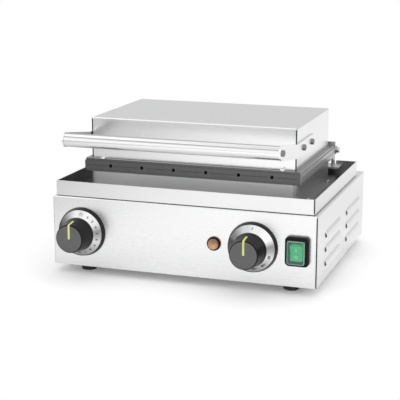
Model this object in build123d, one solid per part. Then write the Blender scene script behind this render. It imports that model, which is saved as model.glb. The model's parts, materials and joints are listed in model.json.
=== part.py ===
from build123d import *
import os
from math import atan2, degrees

# Countertop corn dog maker: a sheet-metal base with a drip tray, two moulded hot plates and a hinged lid.
# Millimetres, +Z up, +X to the right seen from the front, front towards -Y.
# Origin: centre of the bounding box on the worktop, so the feet stand on Z = 0.

# Base housing
body_width = 382.0
body_depth = 305.0
body_height = 98.5
sheet = 1.0
sheet_bend = 1.6
seam_width = 0.9
seam_lap = 12.0
bottom_flange = 16.0
bottom_plate_inset = 2.0
bottom_plate_sheet = 1.0
bottom_screw_edge = 9.0
bottom_screw_side = 23.0
bottom_screw_length = 6.0
vent_length = 90.0
vent_width = 5.0
vent_pitch = 16.0
vent_rows = 7

# Feet
foot_height = 12.0
foot_diameter = 25.0
foot_taper = 2.0
foot_inset_x = 41.0
foot_inset_y = 28.0
foot_recess_depth = 6.0
foot_recess_diameter = 12.0
foot_edge = 1.5
foot_screw_grip = 5.0

# Louvres in both sides
louvre_length = 88.0
louvre_height = 10.4
louvre_proud = 3.6
louvre_pitch = 19.9
louvre_rows = 3
louvre_first_z = 17.5
louvre_front = 47.0
louvre_rear = 36.0

# Drip tray, set in from the housing's edges
tray_side_gap = 4.75
tray_setback = 2.6
tray_rear_ledge = 33.4
tray_rise = 21.6
tray_sheet = 1.0
notch_side = 31.75
notch_depth = 8.0

# Frame that carries the lower plate, set in from the plate's edges
frame_side_inset = 6.85
frame_end_inset = 6.5
frame_sheet = 1.5
frame_corner = 8.0
frame_foot = 12.0
frame_lip = 7.0
frame_screw_spread = 60.0
frame_screw_inset = 61.0
frame_screw_length = 7.0
deck_margin = 14.0

# Hot plates, set in from the tray's edges, with a block that fits inside the frame's lip
plate_side_gap = 28.4
plate_front_gap = 33.4
plate_rear_gap = 25.3
plate_edge = 9.2
plate_above_deck = 31.0
plate_step = 1.2
plate_step_height = 3.0
plate_corner = 2.5
plate_bolt_spread = 60.0
plate_bolt_skin = 2.0
block_side_gap = 3.5
block_end_gap = 1.15
block_thickness = 23.0

# Moulds, cut half into each plate
mould_count = 6
mould_side_wall = 4.25
mould_end_wall = 9.0
mould_radius = 17.0
rib_depth = 1.6
rib_pitch = 9.0
rib_flank = 1.0
rib_width = 2.6
stick_diameter = 5.0

# Heating elements and their clamps
heater_diameter = 6.5
heater_side_margin = 52.0
heater_bend = 20.0
heater_margin = 16.0
heater_pin_diameter = 3.0
heater_pin_length = 10.0
clamp_sheet = 2.0
clamp_side_margin = 20.0
clamp_end_margin = 24.0
clamp_stud_margin = 39.0
stud_diameter = 5.0
stud_depth = 4.0
nut_height = 4.0
nut_width = 8.0

# Heat shield pan under the lower plate
shield_depth = 20.0
shield_flange = 8.0
shield_hole_diameter = 8.0

# Lid, which covers the upper plate's block
lid_side_gap = 9.4
lid_front_gap = 5.65
lid_rear_gap = 2.35
lid_height = 57.5
lid_seat_gap = 0.3
insulation_side_gap = 9.0
insulation_rear_gap = 12.0
insulation_front_gap = 2.0
insulation_corner = 4.0
ledge_screw_side = 26.85
ledge_screw_edge = 5.0

# Handle
handle_diameter = 18.6
handle_wall = 1.5
handle_reach = 84.2
handle_height = 39.5
arm_sheet = 2.5
arm_height = 19.5
arm_level = 27.2
arm_crank = 5.0
arm_length = 87.0
arm_screw_back = (28.7, 74.7)
plug_length = 16.0
bracket_sheet = 2.0
bracket_height = 39.0
bracket_margin = 10.0

# Hinge
hinge_back = 11.2
hinge_pin_diameter = 5.0
hinge_eye = 6.5
hinge_sheet = 3.0
hinge_side_gap = 0.5
hinge_head_diameter = 8.6
hinge_head_height = 4.2
hinge_shelf_sheet = 2.5
hinge_shelf_above_deck = 14.5
hinge_shelf_reach = 7.3
hinge_inner_side = 39.85
hinge_flange_rise = 14.0
lid_hinge_rise = 5.0
lid_hinge_inner_side = 35.85
hinge_screw_sides = (31.85, 18.85)
hinge_screw_length = 8.0
hinge_screw_depth = 9.0

# Front controls, placed from the panel's left or right edge
control_height = 49.7
timer_side = 44.0
thermostat_side = 88.3
lamp_side = 143.0
switch_side = 26.3
bezel_diameter = 70.0
bezel_front_diameter = 66.4
bezel_thickness = 7.0
bezel_wall = 2.0
bezel_bore = 11.0
bezel_hub = 16.0
scale_outer_diameter = 64.6
scale_inner_diameter = 46.0
scale_rise = 7.0
scale_thickness = 1.0
knob_base_diameter = 47.5
knob_face_diameter = 39.5
knob_length = 28.5
knob_gap = 2.0
knob_edge = 2.2
pointer_width = 3.0
pointer_depth = 0.8
pointer_reach = 0.55
shaft_diameter = 6.0
shaft_in_knob = 22.0
shaft_in_control = 12.0
timer_case = (44.0, 40.0, 44.0)
thermostat_case = (46.0, 34.0, 40.0)
case_corner = 3.0
control_bush_diameter = 9.6
control_bush_proud = 1.0
control_screw_pitch = 28.0
control_screw_length = 7.0
bulb_diameter = 6.0
bulb_length = 70.0
bulb_share_in_front = 0.7
capillary_diameter = 2.0
capillary_bend = 3.0

# Indicator lamp
lamp_flange_diameter = 19.5
lamp_flange = 3.2
lamp_seat_depth = 2.2
lamp_lens_diameter = 15.0
lamp_lens_proud = 3.4
lamp_barrel_diameter = 12.0
lamp_barrel_length = 26.0
lamp_barrel_wall = 1.5
lamp_stem_depth = 6.0
lamp_nut_diameter = 17.0
lamp_nut_height = 3.0

# Rocker switch
switch_cutout_width = 22.0
switch_cutout_height = 30.0
switch_body_depth = 24.0
switch_flange = 1.5
switch_frame_width = 33.0
switch_frame_height = 40.5
switch_frame_thickness = 7.0
switch_frame_corner = 6.0
switch_frame_edge = 2.4
boot_width = 24.0
boot_height = 32.0
boot_wall = 0.8
boot_proud = 13.0
boot_corner = 2.0
boot_edge = 1.6
rocker_width = 16.0
rocker_height = 21.0
rocker_proud = 12.0
rocker_dip = 2.0
rocker_shoulder = 2.5
rocker_keel = 3.0
rocker_keel_width = 8.0
rocker_pivot_depth = 2.0
rocker_pin_diameter = 3.0
rocker_pin_length = 1.4
rocker_tilt = 7.0
rocker_well_depth = 10.0
rocker_well_play = 3.0
tab_pitch = 8.0
tab_length = 8.0
tab_width = 6.0
tab_sheet = 0.8

# Glands and terminal block, placed from the body's left edge
gland_side = 71.0
gland_diameter = 20.0
gland_proud = 16.0
gland_hexagon_height = 6.0
gland_nut_height = 4.0
gland_thread_diameter = 15.6
gland_thread_length = 10.0
gland_bore_diameter = 7.5
gland_dome_edge = 1.2
gland_height = 28.0
small_gland_scale = 0.75
lid_gland_height = 36.0
terminal_size = (56.0, 22.0, 18.0)
terminal_back = 60.0
terminal_floor = 6.0
terminal_slot_width = 1.6
terminal_slot_depth = 5.0
terminal_ways = 4

# Screws and fits
screw_diameter = 4.0
screw_head_diameter = 7.0
screw_head_height = 2.4
arm_screw_diameter = 5.0
arm_screw_head = 8.4
arm_screw_head_height = 3.0
arm_screw_grip = 2.5
bracket_screw_grip = 6.5
lid_hinge_screw_grip = 7.5
socket_width = 3.0
screw_end_play = 0.5
slip = 0.05
seat_gap = 0.1
joint_gap = 0.3

# Places worked out from the sizes above
body_bottom = foot_height
deck_top = body_bottom + body_height
deck_bottom = deck_top - sheet
tray_width = body_width - 2 * tray_side_gap
tray_depth = body_depth - tray_setback - tray_rear_ledge
plate_width = tray_width - 2 * plate_side_gap
plate_depth = tray_depth - plate_front_gap - plate_rear_gap
frame_width = plate_width - 2 * frame_side_inset
frame_depth = plate_depth - 2 * frame_end_inset
block_width = frame_width - 2 * (frame_sheet + frame_lip + block_side_gap)
block_depth = frame_depth - 2 * (frame_sheet + frame_lip + block_end_gap)
block_inset_y = (plate_depth - block_depth) / 2

plate_setback = tray_setback + plate_front_gap
lid_setback = plate_setback + block_inset_y - lid_front_gap - sheet
knob_stack = bezel_thickness + scale_rise + knob_gap
handle_front = handle_reach - lid_setback + max(handle_diameter, arm_height) / 2
front_reach = max(handle_front, knob_stack + knob_length)
body_mid_y = (front_reach - gland_proud) / 2
front_y = body_mid_y - body_depth / 2
rear_y = body_mid_y + body_depth / 2
inner_front_y = front_y + sheet
inner_rear_y = rear_y - sheet

tray_x = (-tray_width / 2, tray_width / 2)
tray_y = (front_y + tray_setback, front_y + tray_setback + tray_depth)
tray_floor = deck_top + tray_sheet
tray_top = deck_top + tray_rise

frame_x = (-frame_width / 2, frame_width / 2)
frame_y = (front_y + plate_setback + frame_end_inset, front_y + plate_setback + frame_end_inset + frame_depth)
frame_top = deck_top + plate_above_deck
deck_hole_x = (frame_x[0] + deck_margin, frame_x[1] - deck_margin)
deck_hole_y = (frame_y[0] + deck_margin, frame_y[1] - deck_margin)

plate_x = (-plate_width / 2, plate_width / 2)
plate_y = (front_y + plate_setback, front_y + plate_setback + plate_depth)
plate_mid_y = (plate_y[0] + plate_y[1]) / 2
parting = frame_top + plate_edge
plate_top = parting + plate_edge
block_x = (-block_width / 2, block_width / 2)
block_y = (plate_mid_y - block_depth / 2, plate_mid_y + block_depth / 2)
mould_length = block_depth - 2 * mould_end_wall
mould_pitch = (block_width - 2 * (mould_side_wall + mould_radius)) / (mould_count - 1)
mould_xs = [mould_pitch * (i - (mould_count - 1) / 2) for i in range(mould_count)]
heater_run_spacing = (block_width - 2 * heater_side_margin) / 3
clamp_stud_pitch_y = block_depth - 2 * clamp_stud_margin
block_back = block_thickness
heater_level = block_back + seat_gap + heater_diameter / 2
clamp_near = block_back + 2 * seat_gap + heater_diameter
clamp_far = clamp_near + clamp_sheet
nut_far = clamp_far + nut_height
stud_far = nut_far + 1.0

lid_x = (block_x[0] - lid_side_gap - sheet, block_x[1] + lid_side_gap + sheet)
lid_y = (block_y[0] - lid_front_gap - sheet, block_y[1] + lid_rear_gap + sheet)
ledge_screw_x = plate_x[1] - ledge_screw_side
lid_bottom = plate_top + lid_seat_gap
lid_top = plate_top + lid_height
handle_y = lid_y[0] - handle_reach
handle_z = plate_top + handle_height
arm_z = plate_top + arm_level
arm_inner = lid_x[1]
arm_outer = arm_inner + arm_sheet
arm_rear_y = lid_y[0] + arm_length
arm_screw_ys = [lid_y[0] + back for back in arm_screw_back]
bracket_x = lid_x[1] - sheet
bracket_screw_x = (block_x[1] + bracket_x - bracket_sheet) / 2

hinge_y = plate_y[1] + hinge_back
hinge_inner_x = plate_x[1] - hinge_inner_side
lid_hinge_inner_x = plate_x[1] - lid_hinge_inner_side
hinge_screw_x = [plate_x[1] - side for side in hinge_screw_sides]
lid_ear_outer = plate_x[1] - joint_gap
lid_ear_inner = lid_ear_outer - hinge_sheet
base_ear_outer = lid_ear_inner - hinge_side_gap
base_ear_inner = base_ear_outer - hinge_sheet
shelf_bottom = deck_top + hinge_shelf_above_deck
shelf_top = shelf_bottom + hinge_shelf_sheet
shelf_outer_x = plate_x[1] + hinge_shelf_reach
shelf_rear_y = tray_y[1] - tray_sheet - joint_gap

control_z = body_bottom + control_height
timer_x = timer_side - body_width / 2
thermostat_x = body_width / 2 - thermostat_side
lamp_x = body_width / 2 - lamp_side
switch_x = body_width / 2 - switch_side
gland_x = gland_side - body_width / 2
bottom_screw_x = body_width / 2 - bottom_screw_side
notch_x = (tray_x[0] + notch_side, tray_x[1] - notch_side)
frame_screw_x = frame_x[1] - frame_screw_inset
louvre_columns = (louvre_front, body_depth - louvre_rear - louvre_length)
bezel_front_y = front_y - bezel_thickness
scale_top_y = bezel_front_y - scale_rise
knob_base_y = front_y - knob_stack
knob_face_y = knob_base_y - knob_length
switch_pivot_y = front_y + rocker_pivot_depth
ledge_mid_y = (tray_y[1] + rear_y) / 2

parts = {}


def span_box(x, y, z):
    """A box between two X, two Y and two Z limits."""
    middle = [(low + high) / 2 for low, high in (x, y, z)]
    return Pos(*middle) * Box(*[high - low for low, high in (x, y, z)])


def rod_x(x, y, z, diameter):
    """A round rod along X between two limits."""
    return Pos((x[0] + x[1]) / 2, y, z) * Rot(0, 90, 0) * Cylinder(diameter / 2, x[1] - x[0])


def rod_y(x, y, z, diameter):
    """A round rod along Y between two limits."""
    return Pos(x, (y[0] + y[1]) / 2, z) * Rot(90, 0, 0) * Cylinder(diameter / 2, y[1] - y[0])


def rod_z(x, y, z, diameter):
    """A round rod along Z between two limits."""
    return Pos(x, y, (z[0] + z[1]) / 2) * Cylinder(diameter / 2, z[1] - z[0])


def grow(span, by):
    """A pair of limits moved apart by the same amount at each end."""
    return (span[0] - by, span[1] + by)


def hole(diameter):
    """The bore that a rod of this diameter slips into."""
    return diameter + 2 * slip


def mirrored(shape):
    """The same shape on the other side of the object."""
    return mirror(shape, about=Plane.YZ)


def tube_along(path, diameter):
    """A round bar that follows a path."""
    return sweep(Plane(origin=path @ 0, z_dir=path % 0) * Circle(diameter / 2), path=path)


def screw_solid(direction, face, length, diameter, head, head_height):
    """A domed machine screw: the face is where its head seats and the direction is where its shank goes."""
    shank = Pos(0, 0, length / 2) * Cylinder(diameter / 2, length)
    cap = Pos(0, 0, -head_height / 2) * Cylinder(head / 2, head_height)
    cap = fillet(cap.edges().group_by(Axis.Z)[0], head_height * 0.45)
    socket = Pos(0, 0, -head_height) * extrude(RegularPolygon(socket_width / 2, 6), head_height * 0.6)
    return Plane(origin=face, z_dir=direction) * (shank + cap - socket)


def group(solids):
    """Several separate solids that share one node."""
    return Compound(children=[Solid(s.solid().wrapped) for s in solids])


def seamed_box(x, y, z, wall, bend, open_top):
    """A five-sided sheet box with bent edges, and a narrow seam at each front corner over a lapped flange."""
    outer = span_box(x, y, z)
    closed_edges = outer.edges().group_by(Axis.Z)[0 if open_top else -1]
    outer = fillet(closed_edges, bend)
    inner_z = (z[0] + wall, z[1] + wall) if open_top else (z[0] - wall, z[1] - wall)
    box = outer - span_box(grow(x, -wall), grow(y, -wall), inner_z)
    post_z = (z[0], z[1] - wall) if not open_top else (z[0] + wall, z[1])
    seam_z = (z[0] - 1, z[1] - wall - bend) if not open_top else (z[0] + wall + bend, z[1] + 1)
    for side in (-1, 1):
        edge = side * (x[1] - wall)
        lap = sorted((edge, edge - side * seam_lap))
        seam = sorted((edge, edge - side * seam_width))
        box += span_box(lap, (y[0] + wall, y[0] + 2 * wall), post_z)
        box -= span_box(seam, (y[0] - 1, y[0] + wall), seam_z)
    return box


def louvre_places():
    """Lower front corner of each louvre, as distances from the front face and the base's lower edge."""
    return [(column, louvre_first_z + row * louvre_pitch)
            for column in louvre_columns for row in range(louvre_rows)]


def louvre_hood(y, z):
    """A strip of the right side wall pressed outwards at its lower edge."""
    wall_x = body_width / 2
    outer = ThreePointArc((wall_x, z + louvre_height),
                          (wall_x + louvre_proud * 0.72, z + louvre_height * 0.5),
                          (wall_x + louvre_proud, z))
    inner = ThreePointArc((wall_x + louvre_proud - sheet, z),
                          (wall_x + louvre_proud * 0.72 - sheet, z + louvre_height * 0.5),
                          (wall_x - sheet, z + louvre_height))
    outline = Curve() + [outer, Line(outer @ 1, inner @ 0), inner, Line(inner @ 1, outer @ 0)]
    section = make_face(Plane.XZ * outline)
    return Pos(0, y + louvre_length, 0) * extrude(section, louvre_length, dir=(0, -1, 0))


def frame_screw_places():
    """Screws through the foot of the plate frame, the tray floor and the deck."""
    x_side = frame_x[1] + frame_foot / 2
    y_front = frame_y[0] - frame_foot / 2
    sides = [(side * x_side, plate_mid_y + shift) for side in (-1, 1)
             for shift in (-frame_screw_spread, frame_screw_spread)]
    return sides + [(side * frame_screw_x, y_front) for side in (-1, 1)]


def bottom_screw_places():
    """Screws through the bottom plate into the housing's lower flange."""
    front = front_y + bottom_screw_edge
    rear = rear_y - bottom_screw_edge
    return [(x, y) for y in (front, rear) for x in (-bottom_screw_x, 0.0, bottom_screw_x)]


def foot_places():
    """Centres of the four feet."""
    x = body_width / 2 - foot_inset_x
    return [(sx * x, y) for y in (front_y + foot_inset_y, rear_y - foot_inset_y) for sx in (-1, 1)]


def control_screw_places():
    """Panel screws of the timer and the thermostat, hidden behind their dial rings."""
    return [(x, control_z + shift) for x in (timer_x, thermostat_x)
            for shift in (-control_screw_pitch / 2, control_screw_pitch / 2)]


def make_housing():
    box = seamed_box((-body_width / 2, body_width / 2), (front_y, rear_y), (body_bottom, deck_top),
                     sheet, sheet_bend, False)
    inner_x = (-body_width / 2 + sheet, body_width / 2 - sheet)
    inner_y = (inner_front_y, inner_rear_y)
    flange_z = (body_bottom, body_bottom + sheet)
    flange = span_box(inner_x, inner_y, flange_z)
    flange -= span_box(grow(inner_x, -bottom_flange), grow(inner_y, -bottom_flange), grow(flange_z, 1))
    box += flange
    box -= span_box(deck_hole_x, deck_hole_y, grow((deck_bottom, deck_top), 1))
    panel = (front_y - 1, inner_front_y + 1)
    for x in (timer_x, thermostat_x):
        box -= rod_y(x, panel, control_z, hole(control_bush_diameter))
    for x, z in control_screw_places():
        box -= rod_y(x, panel, z, hole(screw_diameter))
    box -= rod_y(lamp_x, panel, control_z, hole(lamp_barrel_diameter))
    cutout_x = grow((switch_x, switch_x), switch_cutout_width / 2)
    cutout_z = grow((control_z, control_z), switch_cutout_height / 2)
    box -= span_box(cutout_x, panel, cutout_z)
    box -= rod_y(gland_x, grow((inner_rear_y, rear_y), 1), body_bottom + gland_height,
                 hole(gland_thread_diameter))
    box -= rod_z(gland_x, ledge_mid_y, grow((deck_bottom, deck_top), 1),
                 hole(gland_thread_diameter * small_gland_scale))
    for x, y in frame_screw_places():
        box -= rod_z(x, y, grow((deck_bottom, deck_top), 1), hole(screw_diameter))
    for x, y in bottom_screw_places():
        box -= rod_z(x, y, grow(flange_z, 1), hole(screw_diameter))
    for back, up in louvre_places():
        y = front_y + back
        z = body_bottom + up
        slot = span_box((body_width / 2 - sheet, body_width / 2), (y, y + louvre_length),
                        (z, z + louvre_height))
        hood = louvre_hood(y, z)
        box = box - slot - mirrored(slot)
        box = box + hood + mirrored(hood)
    parts["housing"] = box


def make_bottom():
    plate_z = (body_bottom - bottom_plate_sheet, body_bottom)
    span_x = grow((0, 0), body_width / 2 - bottom_plate_inset)
    plate = span_box(span_x, grow((front_y, rear_y), -bottom_plate_inset), plate_z)
    for x, y in bottom_screw_places() + foot_places():
        plate -= rod_z(x, y, grow(plate_z, 1), hole(screw_diameter))
    for row in range(vent_rows):
        y = body_mid_y + (row - (vent_rows - 1) / 2) * vent_pitch
        plate -= span_box((-vent_length / 2, vent_length / 2), grow((y, y), vent_width / 2),
                          grow(plate_z, 1))
    parts["bottom_plate"] = plate
    seat = body_bottom - bottom_plate_sheet
    parts["bottom_screws"] = group([
        screw_solid((0, 0, 1), (x, y, seat), bottom_screw_length, screw_diameter, screw_head_diameter,
                    screw_head_height) for x, y in bottom_screw_places()])


def make_feet():
    feet = []
    screws = []
    foot_top = body_bottom - bottom_plate_sheet
    for x, y in foot_places():
        foot = Pos(x, y, foot_top / 2) * Rot(180, 0, 0) * Cone(foot_diameter / 2,
                                                              foot_diameter / 2 - foot_taper, foot_top)
        foot = fillet(foot.edges().group_by(Axis.Z)[0], foot_edge)
        foot -= rod_z(x, y, (-1, foot_recess_depth), foot_recess_diameter)
        foot -= rod_z(x, y, (0, foot_top + 1), hole(screw_diameter))
        feet.append(foot)
        screws.append(screw_solid((0, 0, 1), (x, y, foot_recess_depth),
                                  foot_top - foot_recess_depth + foot_screw_grip, screw_diameter,
                                  screw_head_diameter, screw_head_height))
    parts["feet"] = group(feet)
    parts["foot_screws"] = group(screws)


def make_tray():
    tray = seamed_box(tray_x, tray_y, (deck_top, tray_top), tray_sheet, sheet_bend, True)
    floor_z = grow((deck_top, tray_floor), 1)
    tray -= span_box(deck_hole_x, deck_hole_y, floor_z)
    tray -= span_box(notch_x, grow((tray_y[1] - tray_sheet, tray_y[1]), 1),
                     (tray_top - notch_depth, tray_top + 1))
    for x, y in frame_screw_places():
        tray -= rod_z(x, y, floor_z, hole(screw_diameter))
    parts["drip_tray"] = tray


def rounded_block(x, y, z, radius):
    """A block with rounded upright corners."""
    block = span_box(x, y, z)
    return fillet(block.edges().filter_by(Axis.Z), radius)


def plate_bolt_places():
    """Bolts that pull the lower plate down on the frame's inner lip."""
    x = frame_x[1] - frame_sheet - frame_lip / 2
    return [(side * x, plate_mid_y + shift) for side in (-1, 1)
            for shift in (-plate_bolt_spread, plate_bolt_spread)]


def hinge_screw_places():
    """Screws of the base's hinge brackets, on the rear wall of the frame."""
    z = (shelf_top + shelf_bottom + hinge_flange_rise) / 2
    return [(side * x, z) for side in (-1, 1) for x in hinge_screw_x]


def make_frame():
    wall_z = (tray_floor, frame_top)
    inner_corner = frame_corner - frame_sheet
    inner_x = grow(frame_x, -frame_sheet)
    inner_y = grow(frame_y, -frame_sheet)
    frame = rounded_block(frame_x, frame_y, wall_z, frame_corner)
    frame += rounded_block(grow(frame_x, frame_foot), grow(frame_y, frame_foot),
                           (tray_floor, tray_floor + frame_sheet), frame_corner + frame_foot)
    frame -= rounded_block(inner_x, inner_y, (tray_floor - 1, frame_top - frame_sheet), inner_corner)
    frame -= span_box(grow(inner_x, -frame_lip), grow(inner_y, -frame_lip), grow(wall_z, 1))
    for x, y in frame_screw_places():
        frame -= rod_z(x, y, grow((tray_floor, tray_floor + frame_sheet), 1), hole(screw_diameter))
    for x, y in plate_bolt_places():
        frame -= rod_z(x, y, grow((frame_top - frame_sheet, frame_top), 1), hole(screw_diameter))
    for x, z in hinge_screw_places():
        frame -= rod_y(x, grow((frame_y[1] - frame_sheet, frame_y[1]), 1), z, hole(screw_diameter))
    parts["plate_frame"] = frame
    seat = tray_floor + frame_sheet
    parts["frame_screws"] = group([
        screw_solid((0, 0, -1), (x, y, seat), frame_screw_length, screw_diameter, screw_head_diameter,
                    screw_head_height) for x, y in frame_screw_places()])


def mould_cutter():
    """One ribbed sausage mould about the Y axis, centred on the origin."""
    half = mould_length / 2
    straight = half - mould_radius
    start = (0, -half)
    corner = 0.5 ** 0.5 * mould_radius
    front = ThreePointArc(start, (corner, -straight - corner), (mould_radius, -straight))
    rear = ThreePointArc((mould_radius, straight), (corner, straight + corner), (0, half))
    points = [front @ 1]
    count = int(2 * straight // rib_pitch)
    first = -(count - 1) / 2 * rib_pitch
    for i in range(count):
        middle = first + i * rib_pitch
        near = rib_width / 2
        far = near + rib_flank
        points += [(mould_radius, middle - far), (mould_radius - rib_depth, middle - near),
                   (mould_radius - rib_depth, middle + near), (mould_radius, middle + far)]
    points.append(rear @ 0)
    outline = Curve() + [front, Polyline(*points), rear, Line(rear @ 1, front @ 0)]
    return revolve(make_face(outline), axis=Axis.Y, revolution_arc=360)


def clamp_stud_places():
    """Studs on the back of each plate, between the heater's runs."""
    return [(sx * heater_run_spacing, plate_mid_y + sy * clamp_stud_pitch_y / 2)
            for sx in (-1, 1) for sy in (-1, 1)]


def level(up, distance):
    """Height at a distance from the parting plane, into the upper or the lower plate."""
    return parting + distance if up else parting - distance


def levels(up, near, far):
    """Limits in Z between two distances from the parting plane."""
    return tuple(sorted((level(up, near), level(up, far))))


def hot_plate(up, mould):
    """One cast plate: a flange with a stepped edge, a thick block behind it and half of every mould."""
    plate = rounded_block(plate_x, plate_y, levels(up, 0, plate_edge - plate_step_height), plate_corner)
    plate += rounded_block(grow(plate_x, -plate_step), grow(plate_y, -plate_step),
                           levels(up, 0, plate_edge), plate_corner)
    plate += rounded_block(block_x, block_y, levels(up, 0, block_back), plate_corner * 2)
    for x in mould_xs:
        plate -= Pos(x, plate_mid_y, parting) * mould
        plate -= rod_y(x, (plate_y[0] - 1, plate_mid_y), parting, stick_diameter)
    for x, y in clamp_stud_places():
        plate -= rod_z(x, y, levels(up, block_back - stud_depth, block_back + 1), hole(stud_diameter))
    return plate


def heater(up):
    """A tubular element in four runs with both ends at the back."""
    z = level(up, heater_level)
    near = block_y[0] + heater_margin
    far = block_y[1] - heater_margin
    inner = heater_run_spacing / 2
    outer = inner + heater_run_spacing
    end = block_y[1] - heater_pin_length
    path = FilletPolyline((-outer, end, z), (-outer, near, z), (-inner, near, z), (-inner, far, z),
                          (inner, far, z), (inner, near, z), (outer, near, z), (outer, end, z),
                          radius=heater_bend)
    element = tube_along(path, heater_diameter)
    for side in (-1, 1):
        element += rod_y(side * outer, (end, end + heater_pin_length), z, heater_pin_diameter)
    return element


def clamp_plate(up):
    """The sheet that presses the element against its plate."""
    side = heater_run_spacing * 1.5 + clamp_side_margin
    plate = span_box((-side, side), grow(block_y, -clamp_end_margin), levels(up, clamp_near, clamp_far))
    for x, y in clamp_stud_places():
        plate -= rod_z(x, y, levels(up, clamp_near - 1, clamp_far + 1), hole(stud_diameter))
    return plate


def clamp_nuts(up):
    """Studs with their nuts, one solid each."""
    studs = []
    for x, y in clamp_stud_places():
        stud = rod_z(x, y, levels(up, block_back - stud_depth, stud_far), stud_diameter)
        low, high = levels(up, clamp_far, nut_far)
        nut = Pos(x, y, low) * extrude(RegularPolygon(nut_width / 2, 6, major_radius=False), high - low)
        studs.append(stud + nut)
    return group(studs)


def ledge_screw_places():
    """Screws on the upper plate's front ledge."""
    return [(side * ledge_screw_x, plate_y[0] + ledge_screw_edge) for side in (-1, 1)]


def bracket_screw_places():
    """Screws of the handle brackets, down into the upper plate."""
    return [(side * bracket_screw_x, lid_y[0] + back) for side in (-1, 1) for back in arm_screw_back]


def lid_hinge_screw_places():
    """Screws of the lid's hinge brackets, into the rear edge of the upper plate."""
    return [(side * x, parting + plate_edge / 2) for side in (-1, 1) for x in hinge_screw_x]


def make_plates():
    mould = mould_cutter()
    bolt_depth = plate_edge - plate_bolt_skin
    lower = hot_plate(False, mould)
    for x, y in plate_bolt_places():
        lower -= rod_z(x, y, (frame_top - 1, frame_top + bolt_depth), hole(screw_diameter))
    parts["lower_plate"] = lower
    upper = hot_plate(True, mould)
    screw_z = (plate_top - bolt_depth, plate_top + 1)
    for x, y in ledge_screw_places() + bracket_screw_places():
        upper -= rod_z(x, y, screw_z, hole(screw_diameter))
    for x, z in lid_hinge_screw_places():
        upper -= rod_y(x, (plate_y[1] - hinge_screw_depth, plate_y[1] + 1), z, hole(screw_diameter))
    parts["upper_plate"] = upper
    lip_bottom = frame_top - frame_sheet
    parts["lower_plate_bolts"] = group([
        screw_solid((0, 0, 1), (x, y, lip_bottom), frame_sheet + bolt_depth - screw_end_play, screw_diameter,
                    frame_lip - 0.4, screw_head_height) for x, y in plate_bolt_places()])
    parts["ledge_screws"] = group([
        screw_solid((0, 0, -1), (x, y, plate_top), bolt_depth - screw_end_play, screw_diameter,
                    screw_head_diameter, screw_head_height) for x, y in ledge_screw_places()])
    for name, up in (("lower", False), ("upper", True)):
        parts[name + "_heater"] = heater(up)
        parts[name + "_clamp_plate"] = clamp_plate(up)
        parts[name + "_clamp_nuts"] = clamp_nuts(up)


def make_heat_shield():
    top = deck_bottom
    bottom = deck_bottom - shield_depth
    inner_x = deck_hole_x
    inner_y = deck_hole_y
    pan = span_box(grow(inner_x, sheet), grow(inner_y, sheet), (bottom, top))
    pan += span_box(grow(inner_x, shield_flange), grow(inner_y, shield_flange), (top - sheet, top))
    pan -= span_box(inner_x, inner_y, (bottom + sheet, top + 1))
    pan -= rod_z(0, capillary_y(), (bottom - 1, bottom + sheet + 1), shield_hole_diameter)
    parts["heat_shield"] = pan


def capillary_y():
    """Where the thermostat's capillary passes down through the heat shield."""
    return deck_hole_y[0] + shield_hole_diameter


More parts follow.
